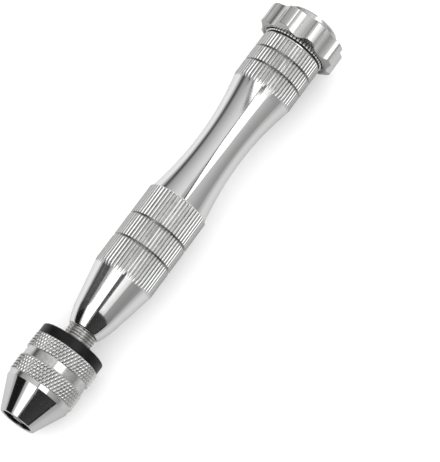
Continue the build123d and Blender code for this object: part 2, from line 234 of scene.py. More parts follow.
def arc_through(start, middle, end, steps):
    """Points along the arc through three points, without its two ends."""
    bx, by = middle[0] - start[0], middle[1] - start[1]
    cx, cy = end[0] - start[0], end[1] - start[1]
    b2 = bx * bx + by * by
    c2 = cx * cx + cy * cy
    d = 2 * (bx * cy - by * cx)
    centre = (start[0] + (cy * b2 - by * c2) / d, start[1] + (bx * c2 - cx * b2) / d)
    return arc_about(centre, start, end, steps)[1:-1]


def even_angles(count, offsets=(0.0,)):
    """Angles around the tool: the same offsets from each of a count of even places."""
    return [2 * pi * index / count + offset for index in range(count) for offset in offsets]


def off_nearest(angle, count):
    """How far an angle lies from the nearest of a count of even places, with its sign."""
    pitch = 2 * pi / count
    return (angle + pitch / 2) % pitch - pitch / 2


# ---- meshes

def add_object(name, data):
    obj = bpy.data.objects.new(name, data)
    bpy.context.scene.collection.objects.link(obj)
    return obj


def finish_mesh(name, bm):
    """A smooth Blender object from a bmesh, with its faces turned outwards."""
    bmesh.ops.remove_doubles(bm, verts=bm.verts, dist=1e-8)
    bmesh.ops.recalc_face_normals(bm, faces=bm.faces)
    mesh = bpy.data.meshes.new(name)
    bm.to_mesh(mesh)
    bm.free()
    for polygon in mesh.polygons:
        polygon.use_smooth = True
    return add_object(name, mesh)


def add_ring(bm, entry, angles):
    """The vertices of one ring of an outline: a (station, radius) point or a function of the angle.

    A ring of no radius is a single vertex.
    """
    if callable(entry):
        return [bm.verts.new(place(*entry(angle), angle)) for angle in angles]
    if entry[1] == 0:
        return [bm.verts.new(place(*entry, 0))]
    return [bm.verts.new(place(*entry, angle)) for angle in angles]


def join_rings(bm, lower, upper, split):
    """The faces between two rings. Split faces follow the direction in which the radius changes least."""
    count = max(len(lower), len(upper))
    for index in range(count):
        following = (index + 1) % count
        if len(lower) == 1:
            bm.faces.new((lower[0], upper[following], upper[index]))
        elif len(upper) == 1:
            bm.faces.new((lower[index], lower[following], upper[0]))
        elif split:
            add_split_face(bm, lower[index], lower[following], upper[following], upper[index])
        else:
            bm.faces.new((lower[index], lower[following], upper[following], upper[index]))


def axis_distance(vertex):
    return hypot(vertex.co.y, vertex.co.z - AXIS_Z)


def add_split_face(bm, a, b, c, d):
    """Two triangles for a face, split along its more level diagonal."""
    if abs(axis_distance(a) - axis_distance(c)) < abs(axis_distance(b) - axis_distance(d)):
        bm.faces.new((a, b, c))
        bm.faces.new((a, c, d))
    else:
        bm.faces.new((a, b, d))
        bm.faces.new((b, c, d))


def turned(name, outline, angles, split=False):
    """A closed turned piece. An outline that doesn't end on the axis joins its start."""
    bm = bmesh.new()
    rings = [add_ring(bm, entry, angles) for entry in outline]
    for lower, upper in zip(rings, rings[1:]):
        join_rings(bm, lower, upper, split)
    if len(rings[0]) > 1 and len(rings[-1]) > 1:
        join_rings(bm, rings[-1], rings[0], split)
    return finish_mesh(name, bm)


# ---- chuck

def make_nose_cone():
    """Conical shell: polished outside, bored conical inside, with the spigot that fits the sleeve."""
    outline = rounded([
        (SHELL_BEARING_START, SHELL_BEARING_R),
        (0.0, NOSE_OPENING_R, 0.18),
        (0.0, NOSE_R, 0.14),
        (CONE_END, SHELL_R, 0.12),
        (NOSE_RING_END, SHELL_R, 0.06),
        (NOSE_RING_END, SPIGOT_R),
        (SPIGOT_END, SPIGOT_R),
        (SPIGOT_END, SLEEVE_BORE_R),
        (BODY_LAND_END, SLEEVE_BORE_R),
        (SHELL_BEARING_END, SHELL_BEARING_R),
    ])
    return turned("nose_cone", outline, even_angles(FINE))


def knurl_drop(station, angle, middle):
    """How far the diamond knurl lies below its crests, from 0 at a crest to 1 along a groove."""
    across = KNURL_COUNT * angle / (2 * pi)
    along = (station - middle) / KNURL_LENGTH
    one = across + along
    other = across - along
    off_crest = 2 * max(SECOND_KNURL * abs(one - round(one)), abs(other - round(other)))
    return min(1.0, max(0.0, (off_crest - KNURL_CREST) / KNURL_FLANK))


def knurl_ring(station, start, end):
    """One ring of a knurled band, cut down to the chamfers at the band's ends."""
    middle = (start + end) / 2
    rim = KNURL_R - KNURL_CHAMFER
    limit = min(KNURL_R, rim + (station - start), rim + (end - station))

    def ring(angle):
        return station, min(limit, KNURL_R - KNURL_DEPTH * knurl_drop(station, angle, middle))
    return ring


def knurled_band(start, end):
    """The rings of one knurled band from edge to edge."""
    step = KNURL_LENGTH / 12
    half = (end - start) / 2
    middle = (start + end) / 2
    count = int((half - NEAR) / step)
    stations = [middle + step * index for index in range(-count, count + 1)]
    return [knurl_ring(station, start, end) for station in [start, *stations, end]]


def make_sleeve():
    """Sleeve with two diamond-knurled bands and a plain channel between them."""
    channel = rounded([
        (FRONT_KNURL_END, KNURL_R - KNURL_CHAMFER),
        (FRONT_KNURL_END, CHANNEL_R, CHANNEL_FILLET),
        (CHANNEL_END, CHANNEL_R, CHANNEL_FILLET),
        (CHANNEL_END, KNURL_R - KNURL_CHAMFER),
    ])[1:-1]
    inside = [
        (SLEEVE_END, SLEEVE_BORE_R),
        (SPIGOT_END, SLEEVE_BORE_R),
        (SPIGOT_END, SPIGOT_R),
        (NOSE_RING_END, SPIGOT_R),
    ]
    front = knurled_band(NOSE_RING_END, FRONT_KNURL_END)
    rear = knurled_band(CHANNEL_END, SLEEVE_END)
    return turned("knurled_sleeve", front + channel + rear + inside, even_angles(KNURL_COUNT * 10), True)


def make_rear_ring():
    """Black ring behind the sleeve."""
    outline = rounded([
        (REAR_RING_START, REAR_RING_BORE_R),
        (REAR_RING_START, REAR_RING_R, 0.15),
        (REAR_RING_END, REAR_RING_R, 0.5),
        (REAR_RING_END, REAR_RING_BORE_R),
    ], steps=6)
    return turned("black_ring", outline, even_angles(FINE))


def thread_ring(station):
    """One ring of the thread, which climbs by one pitch in a turn. Crests and roots are rounded."""
    depth = THREAD_DEPTH * (0.5 - 0.5 * cos(2 * pi * station / THREAD_PITCH)) ** 0.8
    return lambda angle: (station + THREAD_PITCH * angle / (2 * pi), SPINDLE_R - depth)


def make_spindle():
    """Threaded stud with a real helical thread, cut square at both ends.

    A ring ends one pitch beyond its start, so the last column joins the rings of the next turn.
    """
    columns = 72
    rings_per_turn = 10
    step = THREAD_PITCH / rings_per_turn
    first = SPINDLE_START - 2 * THREAD_PITCH
    count = int((SPINDLE_END - first + THREAD_PITCH) / step)
    angles = even_angles(columns)
    bm = bmesh.new()
    rings = [add_ring(bm, thread_ring(first + step * index), angles) for index in range(count)]
    for index in range(count - rings_per_turn):
        for column in range(columns):
            following = (column + 1) % columns
            beside = index if following else index + rings_per_turn
            if beside + 1 < count:
                bm.faces.new((rings[index][column], rings[beside][following],
                              rings[beside + 1][following], rings[index + 1][column]))
    trim(bm, SPINDLE_START, -1)
    trim(bm, SPINDLE_END, 1)
    return finish_mesh("threaded_spindle", bm)


def trim(bm, station, outwards):
    """Cuts a surface square at a station and closes it with a flat face. Outwards is 1 towards the tail."""
    where = place(station, 0, 0)
    everything = bm.verts[:] + bm.edges[:] + bm.faces[:]
    bmesh.ops.bisect_plane(bm, geom=everything, dist=1e-9, plane_co=where, plane_no=(outwards, 0, 0),
                           clear_outer=True)
    on_plane = {vertex for vertex in bm.verts if abs(vertex.co.x - where[0]) < 1e-7}
    rim = [edge for edge in bm.edges if edge.is_boundary and on_plane.issuperset(edge.verts)]
    bmesh.ops.contextual_create(bm, geom=rim)


# ---- handle

def flute_radius(angle):
    """The radius of the fluted grip at an angle, in the bottom of a flute or on a land."""
    off = off_nearest(angle, FLUTE_COUNT)
    room = FLUTE_R ** 2 - (FLUTE_CENTRE_R * sin(off)) ** 2
    if room <= 0:
        return GRIP_R
    return min(GRIP_R, FLUTE_CENTRE_R * cos(off) - sqrt(room))


def flute_angles():
    """Angles of the handle's columns: closer together at the edges of each flute."""
    squares = FLUTE_CENTRE_R ** 2 + GRIP_R ** 2 - FLUTE_R ** 2
    edge = acos(squares / (2 * FLUTE_CENTRE_R * GRIP_R))
    inner = [edge * part for part in (-0.97, -0.8, -0.5, -0.18, 0.18, 0.5, 0.8, 0.97)]
    return even_angles(FLUTE_COUNT, [-edge * 1.02, *inner, edge * 1.02])


def fluted(station, lower=0.0):
    """A ring in the grip."""
    return lambda angle: (station, flute_radius(angle) - lower)


def run_out(station_of_radius, offset, slope=0.0):
    """A ring beside the curve where the flutes run out on a surface, which may slope beside it."""
    def ring(angle):
        radius = flute_radius(angle)
        return station_of_radius(radius) + offset, radius + slope * offset
    return ring


def flutes_start(station_of_radius, slope):
    """The rings where the flutes run out on the slope in front of a grip."""
    step = 2 * NEAR
    return [
        run_out(station_of_radius, -step, slope),
        run_out(station_of_radius, 0.0),
        run_out(station_of_radius, step),
    ]


def grip_groove(station):
    """The rings of one plain groove across the flutes. The edge towards the nose has a chamfer."""
    floor = GRIP_R - GROOVE_DEPTH
    front = station - GROOVE_WIDTH / 2 + SUPPORT
    rear = station + GROOVE_WIDTH / 2
    return [
        fluted(front - GROOVE_CHAMFER - NEAR),
        fluted(front - GROOVE_CHAMFER + NEAR, NEAR / 2),
        fluted(front - NEAR, GROOVE_CHAMFER_DROP - NEAR / 2),
        fluted(front, GROOVE_CHAMFER_DROP),
        (front + NEAR, floor),
        (rear - SUPPORT, floor),
        (rear - NEAR, floor + NEAR),
        fluted(rear, GROOVE_REAR_CHAMFER),
        fluted(rear + GROOVE_REAR_CHAMFER),
        fluted(rear + GROOVE_REAR_CHAMFER + 2 * NEAR),
    ]


def grip(start, grooves):
    """The rings of a grip, from where its flutes are at their full depth to past its last groove."""
    rings = [fluted(start + FLUTES_FULL)]
    for station in grooves:
        rings += grip_groove(station)
    return rings


def cone_station(radius):
    """Where the cone in front of the grip has a radius."""
    return OGIVE_END[0] + (radius - OGIVE_END[1]) / CONE_SLOPE


def waist_bend(station, radius):
    """The radius of the waist's arc that passes through a point."""
    run = station - WAIST[0]
    rise = radius - WAIST[1]
    return (run ** 2 + rise ** 2) / (2 * rise)


def waist_radius(station, bend):
    return WAIST[1] + bend - sqrt(bend ** 2 - (station - WAIST[0]) ** 2)


def rear_station(radius):
    """Where the rear of the waist has a radius."""
    bend = waist_bend(REAR_GRIP_START, GRIP_R)
    return WAIST[0] + sqrt(bend ** 2 - (bend + WAIST[1] - radius) ** 2)


def front_end_station(radius):
    """Where the chamfer behind the front grip has a radius."""
    return FRONT_GRIP_END + (GRIP_R - radius) / (GRIP_R - WAIST_FRONT_R) * GRIP_CHAMFER


def handle_nose_outline():
    """From the spindle hole over the rounded tip and along the cone up to the flutes."""
    sink_depth = 0.2
    sink_width = 0.12
    edge = 0.06
    hole = [(SPINDLE_END, 0), (SPINDLE_END, SPINDLE_R), (HANDLE_START + sink_depth, SPINDLE_R)]
    lip = [(HANDLE_START, SPINDLE_R + sink_width), (HANDLE_START, HANDLE_TIP_R - edge)]
    lip.append((HANDLE_START + SUPPORT, HANDLE_TIP_R))
    ogive = arc_through((HANDLE_START, HANDLE_TIP_R), OGIVE_MIDDLE, OGIVE_END, 14)
    start, start_r = OGIVE_END
    deepest = cone_station(FLUTE_FLOOR_R)
    steps = 8
    runs = [(FRONT_GRIP_START - start) * step / steps for step in range(steps + 1)]
    runs = [run for run in runs if start + run < deepest - 2 * BEFORE_FLUTES]
    cone = [(start + run, start_r + CONE_SLOPE * run) for run in runs]
    last = (deepest - BEFORE_FLUTES, FLUTE_FLOOR_R - CONE_SLOPE * BEFORE_FLUTES)
    return hole + lip + ogive + cone + [last]


def waist_outline():
    """The two arcs of the waist between the grips."""
    start = FRONT_GRIP_END + GRIP_CHAMFER
    middle = WAIST[0]
    stop = rear_station(FLUTE_FLOOR_R) - BEFORE_FLUTES
    front_bend = waist_bend(start, WAIST_FRONT_R)
    rear_bend = waist_bend(REAR_GRIP_START, GRIP_R)
    steps = 18
    front = [start + (middle - start) * step / steps for step in range(steps)]
    front.insert(1, start + SUPPORT)
    rear = [middle + (stop - middle) * step / steps for step in range(steps + 1)]
    rings = [(station, waist_radius(station, front_bend)) for station in front]
    return rings + [(station, waist_radius(station, rear_bend)) for station in rear]


def handle_tail_outline():
    """From the rear grip over the plain rim and into the hole for the tail plug."""
    flutes_end = HANDLE_END - TAIL_RIM
    tail_hole = HANDLE_END - TAIL_THREAD_LENGTH
    rim = rounded([
        (flutes_end + SUPPORT, TAIL_RIM_R),
        (HANDLE_END, TAIL_RIM_R, TAIL_RIM_ROUNDING),
        (HANDLE_END, TAIL_THREAD_R),
    ], steps=5)
    flutes = [fluted(flutes_end - 2 * NEAR), fluted(flutes_end), (flutes_end + NEAR, TAIL_RIM_R)]
    return flutes + rim + [(tail_hole, TAIL_THREAD_R), (tail_hole, 0)]


def make_handle():
    """Handle with two fluted grips. The flutes run out on the slopes in front of each grip."""
    outline = handle_nose_outline()
    outline += flutes_start(cone_station, CONE_SLOPE)
    outline += grip(FRONT_GRIP_START, FRONT_GROOVES)
    outline.append(fluted(FRONT_GRIP_END - SUPPORT))
    outline.append(run_out(front_end_station, -NEAR))
    outline.append(run_out(front_end_station, NEAR, -GRIP_CHAMFER))
    outline += waist_outline()
    rear_slope = (REAR_GRIP_START - WAIST[0]) / waist_bend(REAR_GRIP_START, GRIP_R)
    outline += flutes_start(rear_station, rear_slope)
    outline += grip(REAR_GRIP_START, REAR_GROOVES)
    return turned("fluted_handle", outline + handle_tail_outline(), flute_angles())


# ---- tail

def make_seal():
    """Black seal that fills the gap behind the handle."""
    middle = (HANDLE_END + COLLAR_START) / 2
    half = (COLLAR_START - HANDLE_END) / 2
    bottom = NECK_R + half
    outline = [(middle + half * sin(turn), bottom - half * cos(turn)) for turn in even_angles(20)]
    return turned("seal_ring", outline, even_angles(FINE))


def bead_ring(station, level):
    """A ring of the beaded collar. Level goes from 0 at the edge of the beads to 1 at their crowns."""
    def ring(angle):
        off = abs(off_nearest(angle, BEAD_COUNT)) * BEAD_COUNT / pi
        crown = sqrt(max(0.0, 1 - (off / BEAD_WIDTH) ** 2))
        return station, COLLAR_R - BEAD_HEIGHT + BEAD_HEIGHT * crown * level
    return ring


def make_tail_plug():
    """Plug in the tail of the handle, with its beaded collar, boss and bearing stub."""
    stem_start = HANDLE_END - TAIL_THREAD_LENGTH
    chamfer = 0.5
    stem = [(stem_start, TAIL_THREAD_R - chamfer), (stem_start + chamfer, TAIL_THREAD_R)]
    stem.append((HANDLE_END, TAIL_THREAD_R))
    neck = [(HANDLE_END, NECK_R), (COLLAR_START, NECK_R)]
    rows = 8
    half = (COLLAR_END - COLLAR_START) / 2
    beads = []
    for row in range(rows + 1):
        turn = pi * row / rows
        beads.append(bead_ring(COLLAR_START + half - half * cos(turn), sin(turn) ** 0.8))
    boss = [(COLLAR_END, BOSS_R), (BEARING_START, BOSS_R), (BEARING_START, BEARING_BORE_R)]
    hole_end = BEARING_END - SCREW_LENGTH
    stub = [(BEARING_END, BEARING_BORE_R), (BEARING_END, SCREW_HOLE_R)]
    stub += [(hole_end, SCREW_HOLE_R), (hole_end, 0)]
    outline = [(stem_start, 0), *stem, *neck, *beads, *boss, *stub]
    return turned("beaded_tail_plug", outline, even_angles(BEAD_COUNT * 10))


def lobe_corner():
    """The angle at which the rounding between a scallop and a lobe has its centre."""
    reach = SCALLOP_R + LOBE_ROUNDING
    squares = LOBE_CORNER_R ** 2 + SCALLOP_CENTRE_R ** 2 - reach ** 2
    return acos(squares / (2 * LOBE_CORNER_R * SCALLOP_CENTRE_R))


def ray_to_circle(distance, radius, off, far):
    """Where a ray from the axis meets a circle: off is the angle between the ray and its centre."""
    along = distance * cos(off)
    room = sqrt(max(0.0, radius ** 2 - (distance * sin(off)) ** 2))
    return along + room if far else along - room


def lobe_radius(angle):
    """The radius of the cap's outline, with a scallop at angle 0."""
    off = abs(off_nearest(angle, LOBE_COUNT))
    corner = lobe_corner()
    if off >= corner:
        return LOBE_R
    share = SCALLOP_R / (SCALLOP_R + LOBE_ROUNDING)
    touch_x = SCALLOP_CENTRE_R + (LOBE_CORNER_R * cos(corner) - SCALLOP_CENTRE_R) * share
    touch_y = LOBE_CORNER_R * sin(corner) * share
    if off <= atan2(touch_y, touch_x):
        return ray_to_circle(SCALLOP_CENTRE_R, SCALLOP_R, off, False)
    return ray_to_circle(LOBE_CORNER_R, LOBE_ROUNDING, corner - off, True)


def cap_angles():
    """Angles of the cap's columns: closer together on the roundings."""
    corner = lobe_corner()
    parts = (0.0, 0.2, 0.4, 0.6, 0.7, 0.76, 0.8, 0.84, 0.88, 0.92, 0.96, 1.0)
    offsets = [corner * part for part in parts] + [corner + 0.012, pi / LOBE_COUNT]
    mirrored = [-offset for offset in reversed(offsets[1:-1])]
    return even_angles(LOBE_COUNT, mirrored + offsets)


def bevel_ring(inwards, up):
    """A ring near the edge where the cap's underside bevel meets its side."""
    def ring(angle):
        radius = lobe_radius(angle) - inwards
        return CAP_START + (radius - CAP_BEVEL_R) * CAP_BEVEL_SLOPE + up, radius
    return ring


def top_ring(inwards, down):
    """A ring near the edge where the cap's side meets the chamfer at its tail end."""
    slope = CAP_TOP_CHAMFER / (CAP_TURNED_R - CAP_TOP_R)

    def ring(angle):
        radius = lobe_radius(angle)
        return CAP_END - max(0.0, radius - CAP_TOP_R) * slope - down, radius - inwards
    return ring


def top_face_ring(inwards):
    """A ring on the flat face inside that chamfer."""
    return lambda angle: (CAP_END, min(lobe_radius(angle), CAP_TOP_R) - inwards)


def make_cap():
    """Palm cap: lobed rim, bevel and recess underneath, chamfered top, bored for the bearing."""
    outline = [
        (BEARING_START, BEARING_OUTER_R),
        (BEARING_START, CAP_BOSS_CLEARANCE_R),
        (CAP_RECESS_END, CAP_BOSS_CLEARANCE_R),
        (CAP_RECESS_END, CAP_RECESS_R),
        (CAP_START, CAP_RECESS_R),
        (CAP_START, CAP_BEVEL_R - CAP_EDGE),
        (CAP_START + 0.01, CAP_BEVEL_R),
        bevel_ring(CAP_EDGE, 0.0),
        bevel_ring(0.0, 0.0),
        bevel_ring(0.0, CAP_EDGE),
        top_ring(0.0, 2 * CAP_EDGE),
        top_ring(0.0, CAP_EDGE),
        top_ring(CAP_EDGE, 0.0),
        top_face_ring(0.1),
        top_face_ring(0.2),
        (CAP_END, CAP_THREAD_R),
        (BEARING_END, CAP_THREAD_R),
        (BEARING_END, BEARING_OUTER_R),
    ]
    return turned("lobed_cap", outline, cap_angles())


def make_end_plug():
    """Slotted plug that closes the cap."""
    outline = rounded([
        (END_PLUG_RECESS_END, 0),
        (END_PLUG_RECESS_END, END_PLUG_RECESS_R),
        (BEARING_END, END_PLUG_RECESS_R),
        (BEARING_END, CAP_THREAD_R),
        (CAP_END, CAP_THREAD_R),
        (CAP_END, END_PLUG_R, 0.12),
        (TOTAL_LENGTH - END_PLUG_CHAMFER, END_PLUG_R, 0.1),
        (TOTAL_LENGTH, END_PLUG_R - END_PLUG_CHAMFER, 0.1),
        (TOTAL_LENGTH, 0),
    ])
    plug = turned("slotted_end_plug", outline, even_angles(FINE))
    cutter = slot_cutter()
    cut = plug.modifiers.new("slot", "BOOLEAN")
    cut.operation = "DIFFERENCE"
    cut.solver = "EXACT"
    cut.object = cutter
    apply_modifiers(plug)
    bpy.data.objects.remove(cutter)
    mark_sharp(plug, 35)
    return plug


def slot_cutter():
    """The block that cuts the screwdriver slot."""
    bm = bmesh.new()
    bmesh.ops.create_cube(bm, size=1.0)
    size = Matrix.Diagonal((2 * END_SLOT_DEPTH * MM, 3 * END_PLUG_R * MM, END_SLOT_WIDTH * MM, 1))
    turn = Matrix.Rotation(pi / 2 - radians(END_SLOT_ANGLE), 4, "X")
    where = Matrix.Translation(place(TOTAL_LENGTH, 0, 0))
    bmesh.ops.transform(bm, matrix=where @ turn @ size, verts=bm.verts)
    return finish_mesh("slot_cutter", bm)


def apply_modifiers(obj):
    """Replaces an object's mesh by what its modifiers make of it."""
    graph = bpy.context.evaluated_depsgraph_get()
    made = bpy.data.meshes.new_from_object(obj.evaluated_get(graph))
    obj.modifiers.clear()
    obj.data = made


def mark_sharp(obj, limit):
    """Shades an object sharp across edges that turn by more than a limit in degrees."""
    bm = bmesh.new()
    bm.from_mesh(obj.data)
    for edge in bm.edges:
        edge.smooth = not (edge.is_manifold and edge.calc_face_angle() > radians(limit))
    bm.to_mesh(obj.data)
    bm.free()


# ---- put the pieces in the frame

PIECES = [
    (make_nose_cone, "sleeve", "chuck_nose_cone", "polished_chrome"),
    (make_sleeve, "sleeve", "chuck_sleeve", "knurled_chrome"),
    (make_rear_ring, "handle", "chuck_rear_ring", "black_ring"),
    (make_spindle, "handle", "chuck_spindle", "threaded_steel"),
    (make_handle, "handle", "handle_body", "polished_handle"),
    (make_seal, "handle", "tail_o_ring", "seal_rubber"),
    (make_tail_plug, "handle", "tail_plug", "tail_metal"),
    (make_cap, "cap", "swivel_cap", "satin_cap"),
    (make_end_plug, "cap", "end_plug", "satin_cap"),
]


def make_pieces():
    made = {}
    for make, body, node, slot in PIECES:
        piece = make()
        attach(piece, body)
        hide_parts(node)
        made[node] = piece
    return made


# ---- camera, floor and light

TOOL_CENTRE = Vector((0.0, 0.0, AXIS_Z))
VIEW_AZIMUTH = -54.8
VIEW_ELEVATION = 72.6
CAMERA_DISTANCE = 0.775
LENS = 253.6
SENSOR = 36.0
FRAME_OFFSET = (13.0, 3.2)
FLOOR_RISE = 1.5
FLOOR_RISE_LENGTH = 107.0
FLOOR_SIZE = 0.9
FLOOR_SHADE = grey(0.93)
# The floor as the metal sees it, from FLOOR_BRIGHTEST out to FLOOR_FAR: a painted reflection, darker than
# FLOOR_SHADE and darker still far out.
FLOOR_BRIGHTEST = (0.0, 0.04, 0.0)
FLOOR_NEAR = 0.04
FLOOR_FAR = 0.13
FLOOR_IN_METAL = grey(0.56)
FAR_FLOOR_IN_METAL = grey(0.30)


def make_camera():
    """A long lens, above the nose end of the tool."""
    azimuth = radians(VIEW_AZIMUTH)
    elevation = radians(VIEW_ELEVATION)
    back = Vector((sin(azimuth) * cos(elevation), -cos(azimuth) * cos(elevation), sin(elevation)))
    camera = add_object("camera", bpy.data.cameras.new("camera"))
    camera.data.sensor_fit = "HORIZONTAL"
    camera.data.sensor_width = SENSOR
    camera.data.lens = LENS
    camera.data.clip_start = 0.01
    camera.data.clip_end = 100
    turn = (-back).to_track_quat("-Z", "Y")
    right = turn @ Vector((1, 0, 0))
    down = turn @ Vector((0, -1, 0))
    aim = TOOL_CENTRE + (right * FRAME_OFFSET[0] + down * FRAME_OFFSET[1]) * MM
    camera.location = aim + back * CAMERA_DISTANCE
    camera.rotation_mode = "QUATERNION"
    camera.rotation_quaternion = turn
    bpy.context.scene.camera = camera


class Nodes:
    """A node tree, with shortcuts for the nodes that the materials and the world share."""

    def __init__(self, tree):
        self.nodes = tree.nodes
        self.links = tree.links

    def put(self, socket, value):
        """Sets an input, or links it when the value comes from a node."""
        if isinstance(value, bpy.types.NodeSocket):
            self.links.new(value, socket)
        elif isinstance(value, tuple) and len(value) == 3 and socket.type == "RGBA":
            socket.default_value = (*value, 1)
        else:
            socket.default_value = value

    def level(self, value, low, high, to_low=0.0, to_high=1.0, smooth=False):
        """Stretches a value from one range to another and stops it at both ends."""
        node = self.nodes.new("ShaderNodeMapRange")
        node.interpolation_type = "SMOOTHSTEP" if smooth else "LINEAR"
        ends = (value, low, high, to_low, to_high)
        for socket, end in zip(node.inputs, ends):
            self.put(socket, end)
        return node.outputs["Result"]

    def maths(self, operation, first, second=0.0):
        node = self.nodes.new("ShaderNodeMath")
        node.operation = operation
        self.put(node.inputs[0], first)
        self.put(node.inputs[1], second)
        return node.outputs[0]

    def add(self, *values):
        total = values[0]
        for value in values[1:]:
            total = self.maths("ADD", total, value)
        return total

    def scaled(self, value, amount):
        return self.maths("MULTIPLY", value, amount)

    def blend(self, factor, first, second):
        """A colour between two colours."""
        node = self.nodes.new("ShaderNodeMix")
        node.data_type = "RGBA"
        self.put(node.inputs[0], factor)
        self.put(node.inputs[6], first)
        self.put(node.inputs[7], second)
        return node.outputs[2]


class Look(Nodes):
    """A material under construction."""

    def __init__(self, name, metallic=1.0):
        self.material = bpy.data.materials.new(name)
        self.material.use_nodes = True
        super().__init__(self.material.node_tree)
        self.shader = self.nodes["Principled BSDF"]
        self.shader.inputs["Metallic"].default_value = metallic
        self.place = self.nodes.new("ShaderNodeTexCoord").outputs["Object"]

    def noise(self, size, detail=2.0, turn=0.0):
        """Noise whose features have a size in millimetres along X, Y and Z. Turn slants it about Y."""
        mapping = self.nodes.new("ShaderNodeMapping")
        mapping.inputs["Scale"].default_value = [1 / (part * MM) for part in size]
        mapping.inputs["Rotation"].default_value = (0, radians(turn), radians(turn))
        self.put(mapping.inputs["Vector"], self.place)
        texture = self.nodes.new("ShaderNodeTexNoise")
        texture.inputs["Scale"].default_value = 1.0
        texture.inputs["Detail"].default_value = detail
        self.put(texture.inputs["Vector"], mapping.outputs["Vector"])
        return texture.outputs[0]

    def rings(self, size, detail=2.0):
        """Concentric turning marks about the tool axis, for faces across it. Size is in millimetres."""
        mapping = self.nodes.new("ShaderNodeMapping")
        mapping.inputs["Location"].default_value = (0, 0, -AXIS_Z)
        mapping.inputs["Scale"].default_value = (0, 1, 1)
        self.put(mapping.inputs["Vector"], self.place)
        length = self.nodes.new("ShaderNodeVectorMath")
        length.operation = "LENGTH"
        self.put(length.inputs[0], mapping.outputs["Vector"])
        texture = self.nodes.new("ShaderNodeTexNoise")
        texture.noise_dimensions = "1D"
        texture.inputs["Detail"].default_value = detail
        texture.inputs["Scale"].default_value = 1 / (size * MM)
        self.put(texture.inputs["W"], length.outputs["Value"])
        return texture.outputs[0]

    def facing_along(self):
        """1 on faces across the tool axis and 0 on faces that run along it."""
        geometry = self.nodes.new("ShaderNodeNewGeometry")
        parts = self.nodes.new("ShaderNodeSeparateXYZ")
        self.put(parts.inputs[0], geometry.outputs["Normal"])
        return self.level(self.maths("ABSOLUTE", parts.outputs[0]), 0.6, 0.9)

    def attribute(self, name):
        node = self.nodes.new("ShaderNodeAttribute")
        node.attribute_name = name
        return node.outputs["Fac"]

    def bump(self, height, depth):
        """Adds relief. Depth is in millimetres."""
        node = self.nodes.new("ShaderNodeBump")
        node.inputs["Strength"].default_value = 1.0
        node.inputs["Distance"].default_value = depth * MM
        self.put(node.inputs["Height"], height)
        before = self.shader.inputs["Normal"].links
        if before:
            self.put(node.inputs["Normal"], before[0].from_socket)
        self.put(self.shader.inputs["Normal"], node.outputs["Normal"])

    def colour(self, value):
        self.put(self.shader.inputs["Base Color"], value)

    def roughness(self, value):
        self.put(self.shader.inputs["Roughness"], value)


def scratches(look, size, turn, density):
    """Thin lines that cross the surface at a slant: 1 in a scratch."""
    lines = look.noise(size, 1.0, turn)
    patches = look.level(look.noise((7, 5, 5), 1.0), 0.45, 0.6)
    return look.scaled(look.level(lines, density, density + 0.02), patches)


def bright_metal(name, bright, dull, hollow_shade_colour, finish, mark_depth, wave_depth):
    """Plated metal: turning marks, handling smudges, fine scratches, and painted shade in its hollows."""
    look = Look(name)
    smudge = look.level(look.noise((8, 5, 5), 4.0), 0.45, 0.72)
    hollow = look.attribute("hollow")
    marks = look.noise((0.09, 9, 9), 3.0)
    lengthways = scratches(look, (5, 0.05, 0.05), 14, 0.72)
    crossways = scratches(look, (0.06, 3, 3), -20, 0.74)
    scratch = look.add(lengthways, crossways)
    clean = look.blend(look.scaled(smudge, 0.6), bright, dull)
    uneven = look.level(look.noise((1.5, 1.5, 1.5)), 0.2, 0.7, 0.75, 1.1)
    # Painted shade: the colour darkens where the hollow attribute is high.
    shade_amount = look.level(look.scaled(hollow, uneven), 0.35, 1.0)
    look.colour(look.blend(shade_amount, clean, hollow_shade_colour))
    soft = look.add(look.scaled(smudge, 0.05), look.scaled(shade_amount, 0.28), look.scaled(scratch, 0.12))
    look.roughness(look.add(look.level(marks, 0.3, 0.7, finish * 0.7, finish * 1.3), soft))
    look.bump(look.noise((2.6, 1.6, 1.6), 1.0), wave_depth)
    look.bump(marks, mark_depth)
    return look.material


def polished_chrome():
    """Mirror-bright plating on the conical chuck shell, with painted shade in its bore."""
    return bright_metal("polished_chrome", grey(0.82), (0.76, 0.76, 0.755), (0.05, 0.048, 0.045),
                        0.075, 0.00025, 0.004)


def polished_handle():
    """The handle's plating, a little less flat than the chuck's, with painted shade in the flutes and
    grooves.
    """
    return bright_metal("polished_handle", (0.95, 0.95, 0.945), (0.90, 0.90, 0.895), (0.24, 0.237, 0.23),
                        0.085, 0.0003, 0.005)


def knurled_chrome():
    """The sleeve's plating: bright crests, and painted shade between the diamonds and over the channel."""
    return bright_metal("knurled_chrome", (0.98, 0.98, 0.97), (0.92, 0.92, 0.91), (0.13, 0.128, 0.125),
                        0.11, 0.0003, 0.003)


def tail_metal():
    """Frosted bright plug with its beads rubbed by the palm, and painted shade between the beads and on the
    neck.
    """
    material = bright_metal("tail_metal", (0.99, 0.99, 0.985), (0.96, 0.96, 0.95), grey(0.04),
                            0.42, 0.0002, 0.002)
    material.node_tree.nodes["Principled BSDF"].inputs["Metallic"].default_value = 0.55
    return material


def threaded_steel():
    """Cut thread with painted shade in its roots."""
    return bright_metal("threaded_steel", (0.96, 0.955, 0.94), (0.86, 0.85, 0.83), (0.34, 0.33, 0.32),
                        0.17, 0.0005, 0.004)


